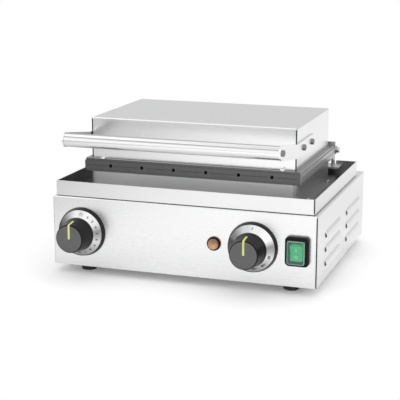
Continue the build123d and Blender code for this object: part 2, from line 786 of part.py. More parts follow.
def make_hinge():
    ear_y = (hinge_y - hinge_eye, hinge_y + hinge_eye)
    shelf_y = (frame_y[1], shelf_rear_y)
    bracket = span_box((hinge_inner_x, shelf_outer_x), shelf_y, (shelf_bottom, shelf_top))
    bracket += span_box((hinge_inner_x, frame_x[1] - frame_corner),
                        (frame_y[1], frame_y[1] + hinge_shelf_sheet),
                        (shelf_bottom, shelf_bottom + hinge_flange_rise))
    bracket += span_box((base_ear_inner, base_ear_outer), ear_y, (shelf_bottom, parting))
    bracket += rod_x((base_ear_inner, base_ear_outer), hinge_y, parting, 2 * hinge_eye)
    bracket -= rod_x((base_ear_inner - 1, base_ear_outer + 1), hinge_y, parting, hole(hinge_pin_diameter))
    for x, z in hinge_screw_places():
        bracket -= rod_y(x, grow((frame_y[1], frame_y[1] + hinge_shelf_sheet), 1), z, hole(screw_diameter))
    parts["hinge_bracket_right"] = bracket
    parts["hinge_bracket_left"] = mirrored(bracket)
    seat_y = frame_y[1] + hinge_shelf_sheet
    parts["hinge_bracket_screws"] = group([
        screw_solid((0, -1, 0), (x, seat_y, z), hinge_screw_length, screw_diameter, screw_head_diameter,
                    screw_head_height) for x, z in hinge_screw_places()])

    head_x = (lid_ear_outer + joint_gap, lid_ear_outer + joint_gap + hinge_head_height)
    nut_x = (base_ear_inner - nut_height, base_ear_inner)
    pin = rod_x((nut_x[0] - 1, head_x[1]), hinge_y, parting, hinge_pin_diameter)
    head = rod_x(head_x, hinge_y, parting, hinge_head_diameter)
    pin += fillet(head.edges().group_by(Axis.X)[-1], 1.0)
    nut = Pos(nut_x[0], hinge_y, parting) * Rot(0, 90, 0) * extrude(
        RegularPolygon(nut_width / 2, 6, major_radius=False), nut_height)
    pin += nut
    parts["hinge_pins"] = group([pin, mirrored(pin)])

    flange_y = (plate_y[1], plate_y[1] + hinge_sheet)
    lid_part = span_box((lid_hinge_inner_x, lid_ear_outer), flange_y,
                        (parting + 1.0, plate_top + lid_hinge_rise))
    lid_part += span_box((lid_ear_inner, lid_ear_outer), (plate_y[1], hinge_y),
                         (parting + 1.0, parting + hinge_eye))
    lid_part += rod_x((lid_ear_inner, lid_ear_outer), hinge_y, parting, 2 * hinge_eye)
    lid_part -= rod_x((lid_ear_inner - 1, lid_ear_outer + 1), hinge_y, parting, hole(hinge_pin_diameter))
    for x, z in lid_hinge_screw_places():
        lid_part -= rod_y(x, grow(flange_y, 1), z, hole(screw_diameter))
    parts["lid_hinge_right"] = lid_part
    parts["lid_hinge_left"] = mirrored(lid_part)
    parts["lid_hinge_screws"] = group([
        screw_solid((0, -1, 0), (x, flange_y[1], z), hinge_sheet + lid_hinge_screw_grip, screw_diameter,
                    screw_head_diameter, screw_head_height) for x, z in lid_hinge_screw_places()])


def make_lid():
    cover = seamed_box(lid_x, lid_y, (lid_bottom, lid_top), sheet, sheet_bend, False)
    for y in arm_screw_ys:
        cover -= rod_x(grow(lid_x, 1), y, arm_z, hole(arm_screw_diameter))
    cover -= rod_y(gland_x, grow((lid_y[1] - sheet, lid_y[1]), 1), plate_top + lid_gland_height,
                   hole(gland_thread_diameter * small_gland_scale))
    parts["lid_cover"] = cover

    pad_bottom = level(True, stud_far) + seat_gap
    pad_y = (lid_y[0] + sheet + insulation_front_gap, lid_y[1] - insulation_rear_gap)
    parts["lid_insulation"] = rounded_block(grow(lid_x, -insulation_side_gap - sheet), pad_y,
                                            (pad_bottom, lid_top - sheet - seat_gap), insulation_corner)

    leg_y = (arm_screw_ys[0] - bracket_margin, arm_screw_ys[1] + bracket_margin)
    leg_x = (bracket_x - bracket_sheet, bracket_x)
    foot_x = (block_x[1] + joint_gap, bracket_x)
    bracket = span_box(leg_x, leg_y, (plate_top, plate_top + bracket_height))
    bracket += span_box(foot_x, leg_y, (plate_top, plate_top + bracket_sheet))
    for y in arm_screw_ys:
        bracket -= rod_x(grow(leg_x, 1), y, arm_z, hole(arm_screw_diameter))
    for x, y in bracket_screw_places():
        bracket -= rod_z(x, y, grow((plate_top, plate_top + bracket_sheet), 1), hole(screw_diameter))
    parts["handle_bracket_right"] = bracket
    parts["handle_bracket_left"] = mirrored(bracket)
    seat = plate_top + bracket_sheet
    head = 2 * (bracket_x - bracket_sheet - bracket_screw_x) - 0.6
    parts["handle_bracket_screws"] = group([
        screw_solid((0, 0, -1), (x, y, seat), bracket_sheet + bracket_screw_grip, screw_diameter, head,
                    screw_head_height) for x, y in bracket_screw_places()])


def arm_outline():
    """The handle arm's side view: a level bar that cranks up to the tube and ends round it."""
    bend_y = lid_y[0] - arm_crank
    run = handle_y - bend_y
    rise = handle_z - arm_z
    level_bar = Pos((arm_rear_y + bend_y) / 2, arm_z) * Rectangle(arm_rear_y - bend_y, arm_height)
    level_bar = fillet(level_bar.vertices().group_by(Axis.X)[-1], 3.0)
    sloped_bar = Rectangle((run ** 2 + rise ** 2) ** 0.5, arm_height)
    sloped_bar = Pos(bend_y + run / 2, arm_z + rise / 2) * Rot(0, 0, degrees(atan2(rise, run))) * sloped_bar
    outline = level_bar + sloped_bar
    for y, z in ((bend_y, arm_z), (handle_y, handle_z)):
        outline += Pos(y, z) * Circle(arm_height / 2)
    return outline


def make_handle():
    side_plane = Plane(origin=(arm_inner, 0, 0), x_dir=(0, 1, 0), z_dir=(1, 0, 0))
    arm = extrude(side_plane * arm_outline(), arm_sheet, dir=(1, 0, 0))
    ends = grow((arm_inner, arm_outer), 1)
    for y in arm_screw_ys:
        arm -= rod_x(ends, y, arm_z, hole(arm_screw_diameter))
    arm -= rod_x(ends, handle_y, handle_z, hole(arm_screw_diameter))
    parts["handle_arm_right"] = arm
    parts["handle_arm_left"] = mirrored(arm)

    tube_x = (-arm_inner, arm_inner)
    inner_diameter = handle_diameter - 2 * handle_wall
    tube = rod_x(tube_x, handle_y, handle_z, handle_diameter)
    parts["handle_tube"] = tube - rod_x(grow(tube_x, 1), handle_y, handle_z, inner_diameter)
    plug_x = (arm_inner - plug_length, arm_inner)
    plug = rod_x(plug_x, handle_y, handle_z, inner_diameter - 2 * slip)
    plug -= rod_x(grow(plug_x, 1), handle_y, handle_z, hole(arm_screw_diameter))
    parts["handle_plugs"] = group([plug, mirrored(plug)])

    places = [(y, arm_z, arm_sheet + sheet + bracket_sheet + arm_screw_grip) for y in arm_screw_ys]
    places.append((handle_y, handle_z, arm_sheet + plug_length - 3.0))
    screws = [screw_solid((-1, 0, 0), (arm_outer, y, z), length, arm_screw_diameter, arm_screw_head,
                          arm_screw_head_height) for y, z, length in places]
    parts["handle_screws"] = group(screws + [mirrored(s) for s in screws])


def control_case(x, size):
    """A boxed control on the back of the front panel, with a bush that reaches through the panel."""
    width, depth, height = size
    case = span_box(grow((x, x), width / 2), (inner_front_y, inner_front_y + depth),
                    grow((control_z, control_z), height / 2))
    case = fillet(case.edges().filter_by(Axis.Y), case_corner)
    case += rod_y(x, (front_y - control_bush_proud, inner_front_y + 1), control_z, control_bush_diameter)
    case -= rod_y(x, (front_y - control_bush_proud - 1, inner_front_y + shaft_in_control), control_z,
                  hole(shaft_diameter))
    for screw_x, z in control_screw_places():
        if screw_x == x:
            case -= rod_y(x, (inner_front_y - 1, inner_front_y + control_screw_length), z,
                          hole(screw_diameter))
    return case


def turned(x, points):
    """A ring about a control's axis, from points given as radius and distance in front of the panel."""
    profile = make_face(Polyline(*points, close=True))
    ring = revolve(Plane.XY * profile, axis=Axis.Y, revolution_arc=360)
    return Pos(x, front_y, control_z) * mirror(ring, about=Plane.XZ)


def dial_bezel(x):
    """The black dial ring: a drum, a cone that carries the scale, and a hub round the spindle."""
    base = bezel_diameter / 2
    shoulder = bezel_front_diameter / 2
    top = scale_inner_diameter / 2
    peak = bezel_thickness + scale_rise - scale_thickness - slip
    seat = bezel_thickness - slip
    outer = turned(x, [(bezel_bore / 2, 0), (base, 0), (shoulder, seat), (scale_outer_diameter / 2, seat),
                       (top, peak), (bezel_bore / 2, peak)])
    ceiling = peak - bezel_wall
    hollow = turned(x, [(bezel_hub / 2, -1), (base - bezel_wall, -1),
                        (shoulder - bezel_wall, seat - bezel_wall), (top, ceiling), (bezel_hub / 2, ceiling)])
    return outer - hollow


def dial_scale(x):
    """The metal cone that carries the dial's marks."""
    outer = scale_outer_diameter / 2
    inner = scale_inner_diameter / 2
    low = bezel_thickness
    high = bezel_thickness + scale_rise
    return turned(x, [(outer, low - slip), (outer, low), (inner, high), (inner, high - scale_thickness)])


def knob(x):
    """A tapered knob with its pointer groove, and the pointer strip that fills it."""
    middle_y = (knob_base_y + knob_face_y) / 2
    body = Pos(x, middle_y, control_z) * Rot(90, 0, 0) * Cone(knob_base_diameter / 2, knob_face_diameter / 2,
                                                           knob_length)
    body = fillet(body.edges().group_by(Axis.Y)[0], knob_edge)
    blade_x = grow((x, x), pointer_width / 2)
    blade = span_box(blade_x, (knob_face_y - 1, knob_face_y + knob_length * pointer_reach),
                     (control_z, control_z + knob_base_diameter))
    core = Pos(x, middle_y + pointer_depth, control_z) * Rot(90, 0, 0) * Cone(
        knob_base_diameter / 2 - pointer_depth, knob_face_diameter / 2 - pointer_depth, knob_length)
    groove = blade - core
    pointer = body & groove
    shaft_hole = rod_y(x, (knob_base_y - shaft_in_knob, knob_base_y + 1), control_z, hole(shaft_diameter))
    return body - groove - shaft_hole, pointer


def knob_shaft(x):
    """The control's spindle, which turns with the knob."""
    span = (knob_base_y - shaft_in_knob + seat_gap, inner_front_y + shaft_in_control - joint_gap)
    return rod_y(x, span, control_z, shaft_diameter)


def make_controls():
    parts["timer_case"] = control_case(timer_x, timer_case)
    parts["thermostat_case"] = control_case(thermostat_x, thermostat_case)
    for name, x in (("timer", timer_x), ("thermostat", thermostat_x)):
        parts[name + "_bezel"] = dial_bezel(x)
        parts[name + "_scale"] = dial_scale(x)
        parts[name + "_knob"], parts[name + "_pointer"] = knob(x)
        parts[name + "_shaft"] = knob_shaft(x)
    parts["control_screws"] = group([
        screw_solid((0, 1, 0), (x, front_y, z), control_screw_length, screw_diameter, screw_head_diameter,
                    screw_head_height) for x, z in control_screw_places()])

    bulb_z = level(False, block_back + seat_gap + bulb_diameter / 2)
    bulb_front_y = plate_mid_y - bulb_length * bulb_share_in_front
    bulb_y = (bulb_front_y, bulb_front_y + bulb_length)
    run_z = deck_bottom - shield_depth - 2 * capillary_diameter
    case_y = inner_front_y + thermostat_case[1] / 2
    case_top = control_z + thermostat_case[2] / 2
    down_y = capillary_y()
    path = FilletPolyline((0, bulb_y[0], bulb_z), (0, down_y, bulb_z), (0, down_y, run_z),
                          (thermostat_x, down_y, run_z), (thermostat_x, case_y, run_z),
                          (thermostat_x, case_y, case_top), radius=capillary_bend)
    parts["thermostat_bulb"] = tube_along(path, capillary_diameter) + rod_y(0, bulb_y, bulb_z, bulb_diameter)


def make_lamp():
    flange_y = (front_y - lamp_flange, front_y)
    body = rod_y(lamp_x, flange_y, control_z, lamp_flange_diameter)
    body = fillet(body.edges().group_by(Axis.Y)[0], lamp_flange * 0.44)
    body += rod_y(lamp_x, (front_y, front_y + lamp_barrel_length), control_z, lamp_barrel_diameter)
    body += rod_y(lamp_x, (inner_front_y, inner_front_y + lamp_nut_height), control_z, lamp_nut_diameter)
    seat = front_y - lamp_seat_depth
    stem_y = (seat, front_y + lamp_stem_depth)
    stem_diameter = lamp_barrel_diameter - 2 * lamp_barrel_wall
    body -= rod_y(lamp_x, (flange_y[0] - 1, seat), control_z, lamp_lens_diameter)
    body -= rod_y(lamp_x, stem_y, control_z, stem_diameter)
    parts["lamp_body"] = body
    lens = rod_y(lamp_x, (flange_y[0] - lamp_lens_proud, seat), control_z, lamp_lens_diameter - 2 * slip)
    lens = fillet(lens.edges().group_by(Axis.Y)[0], lamp_lens_proud * 0.8)
    lens += rod_y(lamp_x, (seat, stem_y[1] - 1), control_z, stem_diameter - 2 * slip)
    parts["lamp_lens"] = lens


def rocker_outline():
    """The rocker's side view at mid throw: X is up the switch and Y is out towards the user."""
    half = rocker_height / 2
    keel = rocker_keel_width / 2
    return make_face(Polyline((-half, rocker_proud), (0, rocker_proud - rocker_dip), (half, rocker_proud),
                              (half, rocker_shoulder), (keel, -rocker_keel), (-keel, -rocker_keel),
                              (-half, rocker_shoulder), close=True))


def make_switch():
    x_span = (switch_x, switch_x)
    z_span = (control_z, control_z)
    body = span_box(grow(x_span, boot_width / 2 - boot_wall), (front_y - switch_flange, front_y),
                    grow(z_span, boot_height / 2 - boot_wall))
    back = front_y + switch_body_depth
    body += span_box(grow(x_span, switch_cutout_width / 2 - slip), (front_y, back),
                     grow(z_span, switch_cutout_height / 2 - slip))
    well_width = rocker_width + 2 * joint_gap
    well_height = rocker_height + rocker_well_play
    body -= span_box(grow(x_span, well_width / 2), (front_y - switch_flange - 1, front_y + rocker_well_depth),
                     grow(z_span, well_height / 2))
    pin_x = grow(x_span, rocker_width / 2 + rocker_pin_length)
    body -= rod_x(grow(pin_x, joint_gap), switch_pivot_y, control_z, hole(rocker_pin_diameter))
    for step in (-1, 0, 1):
        z = control_z + step * tab_pitch
        body += span_box(grow(x_span, tab_width / 2), (back, back + tab_length), grow((z, z), tab_sheet / 2))
    parts["switch_body"] = body

    rocker_plane = Plane(origin=(switch_x - rocker_width / 2, switch_pivot_y, control_z),
                         x_dir=(0, 0, 1), z_dir=(1, 0, 0))
    rocker = extrude(rocker_plane * rocker_outline(), rocker_width, dir=(1, 0, 0))
    rocker += rod_x(pin_x, switch_pivot_y, control_z, rocker_pin_diameter)
    pivot = Axis((switch_x, switch_pivot_y, control_z), (1, 0, 0))
    parts["rocker"] = rocker.rotate(pivot, rocker_tilt)

    frame = span_box(grow(x_span, switch_frame_width / 2), (front_y - switch_frame_thickness, front_y),
                     grow(z_span, switch_frame_height / 2))
    frame = fillet(frame.edges().filter_by(Axis.Y), switch_frame_corner)
    frame = fillet(frame.edges().group_by(Axis.Y)[0], switch_frame_edge)
    opening = span_box(grow(x_span, boot_width / 2 + slip),
                       (front_y - switch_frame_thickness - 1, front_y + 1),
                       grow(z_span, boot_height / 2 + slip))
    parts["switch_frame"] = frame - fillet(opening.edges().filter_by(Axis.Y), boot_corner)

    boot = span_box(grow(x_span, boot_width / 2), (front_y - boot_proud, front_y),
                    grow(z_span, boot_height / 2))
    boot = fillet(boot.edges().filter_by(Axis.Y), boot_corner)
    boot = fillet(boot.edges().group_by(Axis.Y)[0], boot_edge)
    inside = span_box(grow(x_span, boot_width / 2 - boot_wall + slip),
                      (front_y - boot_proud + boot_wall, front_y + 1),
                      grow(z_span, boot_height / 2 - boot_wall + slip))
    parts["switch_boot"] = boot - inside


def gland(scale):
    """A cable gland along +Z: thread and lock nut below the sheet at Z = 0, hexagon and dome above."""
    across = gland_diameter * scale / 2
    proud = gland_proud * scale
    thread = rod_z(0, 0, (-gland_thread_length, 0), gland_thread_diameter * scale)
    hexagon = extrude(RegularPolygon(across, 6), gland_hexagon_height)
    dome = Pos(0, 0, (gland_hexagon_height + proud) / 2) * Cone(across * 0.92, across * 0.72,
                                                               proud - gland_hexagon_height)
    dome = fillet(dome.edges().group_by(Axis.Z)[-1], gland_dome_edge)
    nut = Pos(0, 0, -sheet - gland_nut_height) * extrude(RegularPolygon(across, 6), gland_nut_height)
    bore = rod_z(0, 0, (-gland_thread_length - 1, proud + 1), gland_bore_diameter * scale)
    return thread + hexagon + dome + nut - bore


def make_wiring():
    parts["mains_gland"] = Plane(origin=(gland_x, rear_y, body_bottom + gland_height),
                                 z_dir=(0, 1, 0)) * gland(1.0)
    parts["deck_gland"] = Pos(gland_x, ledge_mid_y, deck_top) * gland(small_gland_scale)
    parts["lid_gland"] = Plane(origin=(gland_x, lid_y[1], plate_top + lid_gland_height),
                               z_dir=(0, 1, 0)) * gland(small_gland_scale)
    width, depth, height = terminal_size
    mid_y = (rear_y - terminal_back, rear_y - terminal_back)
    top = body_bottom + height
    block = span_box(grow((gland_x, gland_x), width / 2), grow(mid_y, depth / 2), (body_bottom, top))
    pitch = width / terminal_ways
    for i in range(terminal_ways):
        x = gland_x + (i - (terminal_ways - 1) / 2) * pitch
        block -= rod_z(x, mid_y[0], (body_bottom + terminal_floor, top + 1), pitch * 0.5)
        if i:
            edge = x - pitch / 2
            block -= span_box(grow((edge, edge), terminal_slot_width / 2), grow(mid_y, depth),
                              (top - terminal_slot_depth, top + 1))
    parts["terminal_block"] = block


def main():
    for make in (make_housing, make_bottom, make_feet, make_tray, make_frame, make_plates,
                 make_heat_shield, make_hinge, make_lid, make_handle, make_controls, make_lamp,
                 make_switch, make_wiring):
        make()
    os.makedirs("parts", exist_ok=True)
    for name, shape in parts.items():
        export_step(shape, f"parts/{name}.step")


main()
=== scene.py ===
import json
import math

import bmesh
import bpy
from mathutils import Matrix, Vector


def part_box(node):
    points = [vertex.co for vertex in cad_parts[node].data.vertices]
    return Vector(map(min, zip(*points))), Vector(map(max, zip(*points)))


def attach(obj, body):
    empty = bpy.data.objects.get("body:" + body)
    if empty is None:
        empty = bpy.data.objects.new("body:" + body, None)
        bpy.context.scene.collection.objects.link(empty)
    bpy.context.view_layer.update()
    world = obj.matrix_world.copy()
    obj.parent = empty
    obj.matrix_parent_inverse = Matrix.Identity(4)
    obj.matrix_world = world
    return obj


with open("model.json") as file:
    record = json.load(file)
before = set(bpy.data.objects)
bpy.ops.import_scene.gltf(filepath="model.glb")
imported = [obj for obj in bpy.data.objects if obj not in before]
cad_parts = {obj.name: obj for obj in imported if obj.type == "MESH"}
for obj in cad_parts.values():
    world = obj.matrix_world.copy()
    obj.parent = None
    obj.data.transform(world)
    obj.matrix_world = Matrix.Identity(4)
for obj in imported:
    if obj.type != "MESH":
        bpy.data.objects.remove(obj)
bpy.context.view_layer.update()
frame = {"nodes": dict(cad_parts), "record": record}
MM = 0.001
MICRON = 0.001 * MM

# Sizes of the part, and places read from the frame
SHEET = 1.0 * MM
LOUVRE_PROUD = 3.6 * MM
HOUSING_LOW, HOUSING_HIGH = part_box("housing")
LID_LOW, LID_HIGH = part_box("lid_cover")
TRAY_LOW, TRAY_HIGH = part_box("drip_tray")
FRAME_LOW, FRAME_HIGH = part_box("plate_frame")
FRONT_Y = HOUSING_LOW.y
BODY_MID_Y = (HOUSING_LOW.y + HOUSING_HIGH.y) / 2
BODY_HALF = HOUSING_HIGH.x - LOUVRE_PROUD


def middle(node):
    """The middle of a CAD node's box."""
    low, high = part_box(node)
    return (low + high) / 2


# Node trees
class Tree:
    """A node tree, with short calls for the nodes that the materials, the world and the floor share."""

    def __init__(self, tree):
        self.tree = tree

    def add(self, kind, **settings):
        node = self.tree.nodes.new(kind)
        for key, value in settings.items():
            setattr(node, key, value)
        return node

    def link(self, output, node_input):
        self.tree.links.new(output, node_input)

    def feed(self, value, node_input):
        """Sets an input to a number, or links an output to it."""
        if isinstance(value, (int, float)):
            node_input.default_value = value
        else:
            self.link(value, node_input)

    def maths(self, operation, a, b=0.0):
        node = self.add("ShaderNodeMath", operation=operation)
        self.feed(a, node.inputs[0])
        self.feed(b, node.inputs[1])
        return node.outputs["Value"]

    def times(self, first, *others):
        """The product of all the values."""
        product = first
        for value in others:
            product = self.maths("MULTIPLY", product, value)
        return product

    def larger(self, a, b):
        return self.maths("MAXIMUM", a, b)

    def absolute(self, value):
        return self.maths("ABSOLUTE", value)

    def inverse(self, value):
        """1 less the value."""
        return self.maths("SUBTRACT", 1.0, value)

    def step(self, value, start, stop):
        """0 below the start, 1 above the stop and smooth between."""
        node = self.add("ShaderNodeMapRange", interpolation_type="SMOOTHSTEP")
        node.inputs["From Min"].default_value = start
        node.inputs["From Max"].default_value = stop
        self.link(value, node.inputs["Value"])
        return node.outputs["Result"]

    def band(self, value, rise, fall):
        """1 between a rise and a fall, each with its own start and stop, and 0 outside."""
        return self.times(self.step(value, *rise), self.inverse(self.step(value, *fall)))

    def ramp(self, value, low, high):
        """A value moved from 0..1 to low..high."""
        node = self.add("ShaderNodeMapRange")
        node.inputs["To Min"].default_value = low
        node.inputs["To Max"].default_value = high
        self.link(value, node.inputs["Value"])
        return node.outputs["Result"]

    def part(self, vector, axis):
        """One component of a vector."""
        split = self.add("ShaderNodeSeparateXYZ")
        self.link(vector, split.inputs["Vector"])
        return split.outputs[axis]

    def either(self, factor, first, second):
        """The first shader where the factor is 0 and the second where it is 1."""
        node = self.add("ShaderNodeMixShader")
        self.link(factor, node.inputs["Fac"])
        self.link(first, node.inputs[1])
        self.link(second, node.inputs[2])
        return node.outputs["Shader"]


class Finish(Tree):
    """A new material, with short calls for its surface; its place is in metres in the part's frame."""

    def __init__(self, name, colour, metallic, roughness):
        self.material = bpy.data.materials.new(name)
        self.material.use_nodes = True
        super().__init__(self.material.node_tree)
        self.shader = self.tree.nodes["Principled BSDF"]
        self.colour = colour
        self.roughness = roughness
        self.put({"Base Color": (*colour, 1), "Metallic": metallic, "Roughness": roughness})
        self.place = self.add("ShaderNodeTexCoord").outputs["Object"]

    def put(self, numbers):
        """Sets the shader's own sockets."""
        for socket, value in numbers.items():
            self.shader.inputs[socket].default_value = value

    def noise(self, waves, vector=None, detail=3.0, roughness=0.55):
        """A noise value with a number of waves per metre, or per unit of a given vector."""
        node = self.add("ShaderNodeTexNoise")
        node.inputs["Scale"].default_value = waves
        node.inputs["Detail"].default_value = detail
        node.inputs["Roughness"].default_value = roughness
        self.link(vector or self.place, node.inputs["Vector"])
        return node.outputs["Fac"]

    def streaks(self, waves, detail=3.0, roughness=0.55):
        """Noise with its own number of waves per metre along each axis."""
        mapping = self.add("ShaderNodeMapping")
        mapping.inputs["Scale"].default_value = waves
        self.link(self.place, mapping.inputs["Vector"])
        return self.noise(1.0, mapping.outputs["Vector"], detail, roughness)

    def normal(self, axis):
        """One component of the face's own normal in object space."""
        turn = self.add("ShaderNodeVectorTransform", vector_type="NORMAL", convert_from="WORLD",
                        convert_to="OBJECT")
        self.link(self.add("ShaderNodeNewGeometry").outputs["True Normal"], turn.inputs["Vector"])
        return self.part(turn.outputs["Vector"], axis)

    def blend(self, factor, low, high):
        """The base colour between two colours by a factor."""
        node = self.add("ShaderNodeMix", data_type="RGBA")
        node.inputs["A"].default_value = (*low, 1)
        node.inputs["B"].default_value = (*high, 1)
        self.link(factor, node.inputs["Factor"])
        self.link(node.outputs["Result"], self.shader.inputs["Base Color"])

    def darken(self, factor, share):
        """The base colour, taken by a factor to a share of itself."""
        self.blend(factor, self.colour, [c * share for c in self.colour])

    def tint(self, value, low, high):
        """The base colour times a number that runs from low to high with the value."""
        self.blend(value, [c * low for c in self.colour], [min(1.0, c * high) for c in self.colour])

    def roughen(self, value, below, above):
        """Roughness that runs with the value from a little below the material's own to a little above."""
        self.link(self.ramp(value, self.roughness - below, self.roughness + above),
                  self.shader.inputs["Roughness"])

    def bump(self, value, height, strength):
        """Bump of a real height in metres."""
        node = self.add("ShaderNodeBump")
        node.inputs["Distance"].default_value = height
        node.inputs["Strength"].default_value = strength
        self.link(value, node.inputs["Height"])
        self.link(node.outputs["Normal"], self.shader.inputs["Normal"])


# Materials
BRUSH_FINE = 1400.0
BRUSH_SATIN = 1100.0
BRUSH_STRETCH = 0.012
SIDEWAYS = 0.7
# Painted shade beside the front corner seams: its width, its darkness, and the sheets it lies on
SEAM_SHADE_WIDTH = 0.35 * MM
SEAM_SHADE_DARKNESS = 0.95
HOUSING_SEAM_SHADE = {"half": BODY_HALF, "front": FRONT_Y}
LID_SEAM_SHADE = {"half": LID_HIGH.x, "front": LID_LOW.y, "both": True}
TRAY_SEAM_SHADE = {"half": TRAY_HIGH.x, "front": TRAY_LOW.y}
SHEET_COLOUR = (0.91, 0.91, 0.915)
SCALE_COLOUR = (0.86, 0.86, 0.87)
BLACK = (0.008, 0.008, 0.009)
# Painted reflection on the dials' cones: a brightness for each angle in degrees from the top
PAINTED_SPIN_REFLECTIONS = ((-180, 0.60), (-135, 0.46), (-90, 0.20), (-50, 0.26), (-22, 0.60), (0, 0.88), (30, 1.0),
             (58, 0.9), (80, 0.34), (96, 0.55), (112, 1.0), (135, 0.78), (180, 0.60))


def grain(finish, fine):
    """Brush lines along the sheet's long direction: along X, but along Y on faces that look sideways."""
    slow = fine * BRUSH_STRETCH
    sideways = finish.maths("GREATER_THAN", finish.absolute(finish.normal("X")), SIDEWAYS)
    mix = finish.add("ShaderNodeMix", data_type="FLOAT")
    finish.link(sideways, mix.inputs["Factor"])
    finish.link(finish.streaks((slow, fine, fine), detail=4.0, roughness=0.65), mix.inputs["A"])
    finish.link(finish.streaks((fine, slow, fine), detail=4.0, roughness=0.65), mix.inputs["B"])
    return mix.outputs["Result"]


def drawn_lines(finish):
    """Lines along X that drawing leaves on bar, tube and screws."""
    return finish.streaks((12.0, 900.0, 900.0))


def cut_edge(finish, half, front, both=False):
    """1 on a thin strip of the right side sheet, or of both, beside the front corner's joint line: painted
    shade that widens the seam.
    """
    x = finish.part(finish.place, "X")
    if both:
        x = finish.absolute(x)
    outside = finish.maths("GREATER_THAN", x, half - SHEET)
    near_front = finish.maths("LESS_THAN", finish.part(finish.place, "Y"), front + SEAM_SHADE_WIDTH)
    return finish.times(outside, near_front)


def brushed(name, colour, roughness, fine=BRUSH_FINE, corner=None):
    """Brushed sheet: fine lines, faint clouding, slight changes of gloss and painted shade along the seam at
    a given corner.
    """
    finish = Finish(name, colour, 1.0, roughness)
    lines = grain(finish, fine)
    clouds = finish.noise(waves=14.0, detail=2.0)
    dull = finish.times(finish.maths("ADD", finish.times(lines, 0.35), finish.times(clouds, 0.65)), 0.035)
    # Painted shade: the strip beside the corner's seam is darkened
    if corner:
        dull = finish.larger(dull, finish.times(cut_edge(finish, **corner), SEAM_SHADE_DARKNESS))
    finish.darken(dull, share=0.08)
    finish.roughen(lines, below=0.01, above=0.02)
    finish.bump(lines, height=3 * MICRON, strength=0.12)
    return finish.material


def tray_steel(name, colour, roughness):
    """Satin sheet whose inside is darkened in patches by painted shade and reflection, with a painted shadow
    line along its lower edge where it meets the deck.
    """
    finish = Finish(name, colour, 1.0, roughness)
    lines = grain(finish, BRUSH_SATIN)
    aside = finish.absolute(finish.part(finish.place, "X"))
    y = finish.part(finish.place, "Y")
    z = finish.part(finish.place, "Z")
    skin = 0.5 * MM
    rim = 0.3 * MM
    inside = finish.times(finish.maths("LESS_THAN", aside, TRAY_HIGH.x - skin),
                          finish.maths("GREATER_THAN", y, TRAY_LOW.y + skin),
                          finish.maths("LESS_THAN", y, TRAY_HIGH.y - skin),
                          finish.maths("LESS_THAN", z, TRAY_HIGH.z - rim))
    # Painted shade and reflection: the inside darkens behind the front and beside the frame, in patches
    behind = finish.step(y, TRAY_LOW.y + 28 * MM, TRAY_LOW.y + 75 * MM)
    beside = finish.step(aside, FRAME_HIGH.x, FRAME_HIGH.x + 12 * MM)
    patches = finish.step(finish.noise(waves=9.0, detail=4.0, roughness=0.6), 0.3, 0.75)
    painted_inside_shade = finish.times(inside, finish.larger(behind, beside), finish.ramp(patches, 0.55, 0.92))
    # Painted shadow: a dark line along the bottom where the tray meets the deck
    painted_shadow_line = finish.inverse(finish.step(z, TRAY_LOW.z + 0.7 * MM, TRAY_LOW.z + 1.5 * MM))
    # Painted shade beside the front corner's seam
    edge = finish.times(cut_edge(finish, **TRAY_SEAM_SHADE), SEAM_SHADE_DARKNESS)
    finish.darken(finish.larger(finish.larger(painted_inside_shade, finish.times(painted_shadow_line, 0.8)), edge), share=0.10)
    finish.roughen(lines, below=0.03, above=0.04)
    finish.bump(lines, height=6 * MICRON, strength=0.25)
    return finish.material


def frame_steel(name, colour, roughness):
    """Brushed frame: clean at the front, with painted shade under the plates on its side and rear walls."""
    finish = Finish(name, colour, 0.7, roughness)
    lines = grain(finish, BRUSH_SATIN)
    # Painted shade under the plates: darker from just behind the front towards the rear
    rear = finish.step(finish.part(finish.place, "Y"), FRAME_LOW.y + 4 * MM, FRAME_LOW.y + 30 * MM)
    finish.darken(finish.times(rear, finish.ramp(lines, 0.6, 0.85)), share=0.12)
    finish.roughen(lines, below=0.02, above=0.04)
    finish.bump(lines, height=4 * MICRON, strength=0.2)
    return finish.material


def arm_steel(name, colour, roughness):
    """Bent bar: bright outside, with painted shade on the faces that look inwards."""
    finish = Finish(name, colour, 1.0, roughness)
    lines = grain(finish, BRUSH_FINE)
    # Painted shade on the inner faces of each arm
    against = finish.times(finish.part(finish.place, "X"), -1.0, finish.normal("X"))
    inwards = finish.step(against, 0.02, 0.1)
    finish.darken(finish.times(inwards, finish.ramp(lines, 0.75, 0.95)), share=0.22)
    finish.roughen(lines, below=0.02, above=0.03)
    finish.bump(lines, height=4 * MICRON, strength=0.2)
    return finish.material


def tube_steel(name, colour, roughness):
    """Drawn and polished tube with a painted reflection: bright in the middle, darker below, with two dark
    lines along its top.
    """
    finish = Finish(name, colour, 1.0, roughness)
    low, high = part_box("handle_tube")
    radius = (high.z - low.z) / 2

    def from_axis(axis, top):
        """A place across the tube in radii, from -1 to 1."""
        offset = finish.maths("SUBTRACT", finish.part(finish.place, axis), top - radius)
        return finish.maths("DIVIDE", offset, radius)

    height = from_axis("Z", high.z)
    depth = from_axis("Y", high.y)
    # Painted reflection: darker below the middle and along two lines near the top
    under = finish.inverse(finish.step(height, -0.4, 0.0))
    painted_low_line = finish.band(height, (0.36, 0.52), (0.60, 0.68))
    painted_top_line = finish.times(finish.band(depth, (-0.55, -0.3), (0.2, 0.5)), finish.step(height, 0.1, 0.4))
    dull = finish.larger(finish.times(under, 0.24), finish.times(painted_low_line, 0.6))
    finish.darken(finish.larger(dull, finish.times(painted_top_line, 0.5)), share=0.15)
    lines = drawn_lines(finish)
    finish.roughen(lines, below=0.02, above=0.06)
    finish.bump(lines, height=3 * MICRON, strength=0.2)
    return finish.material


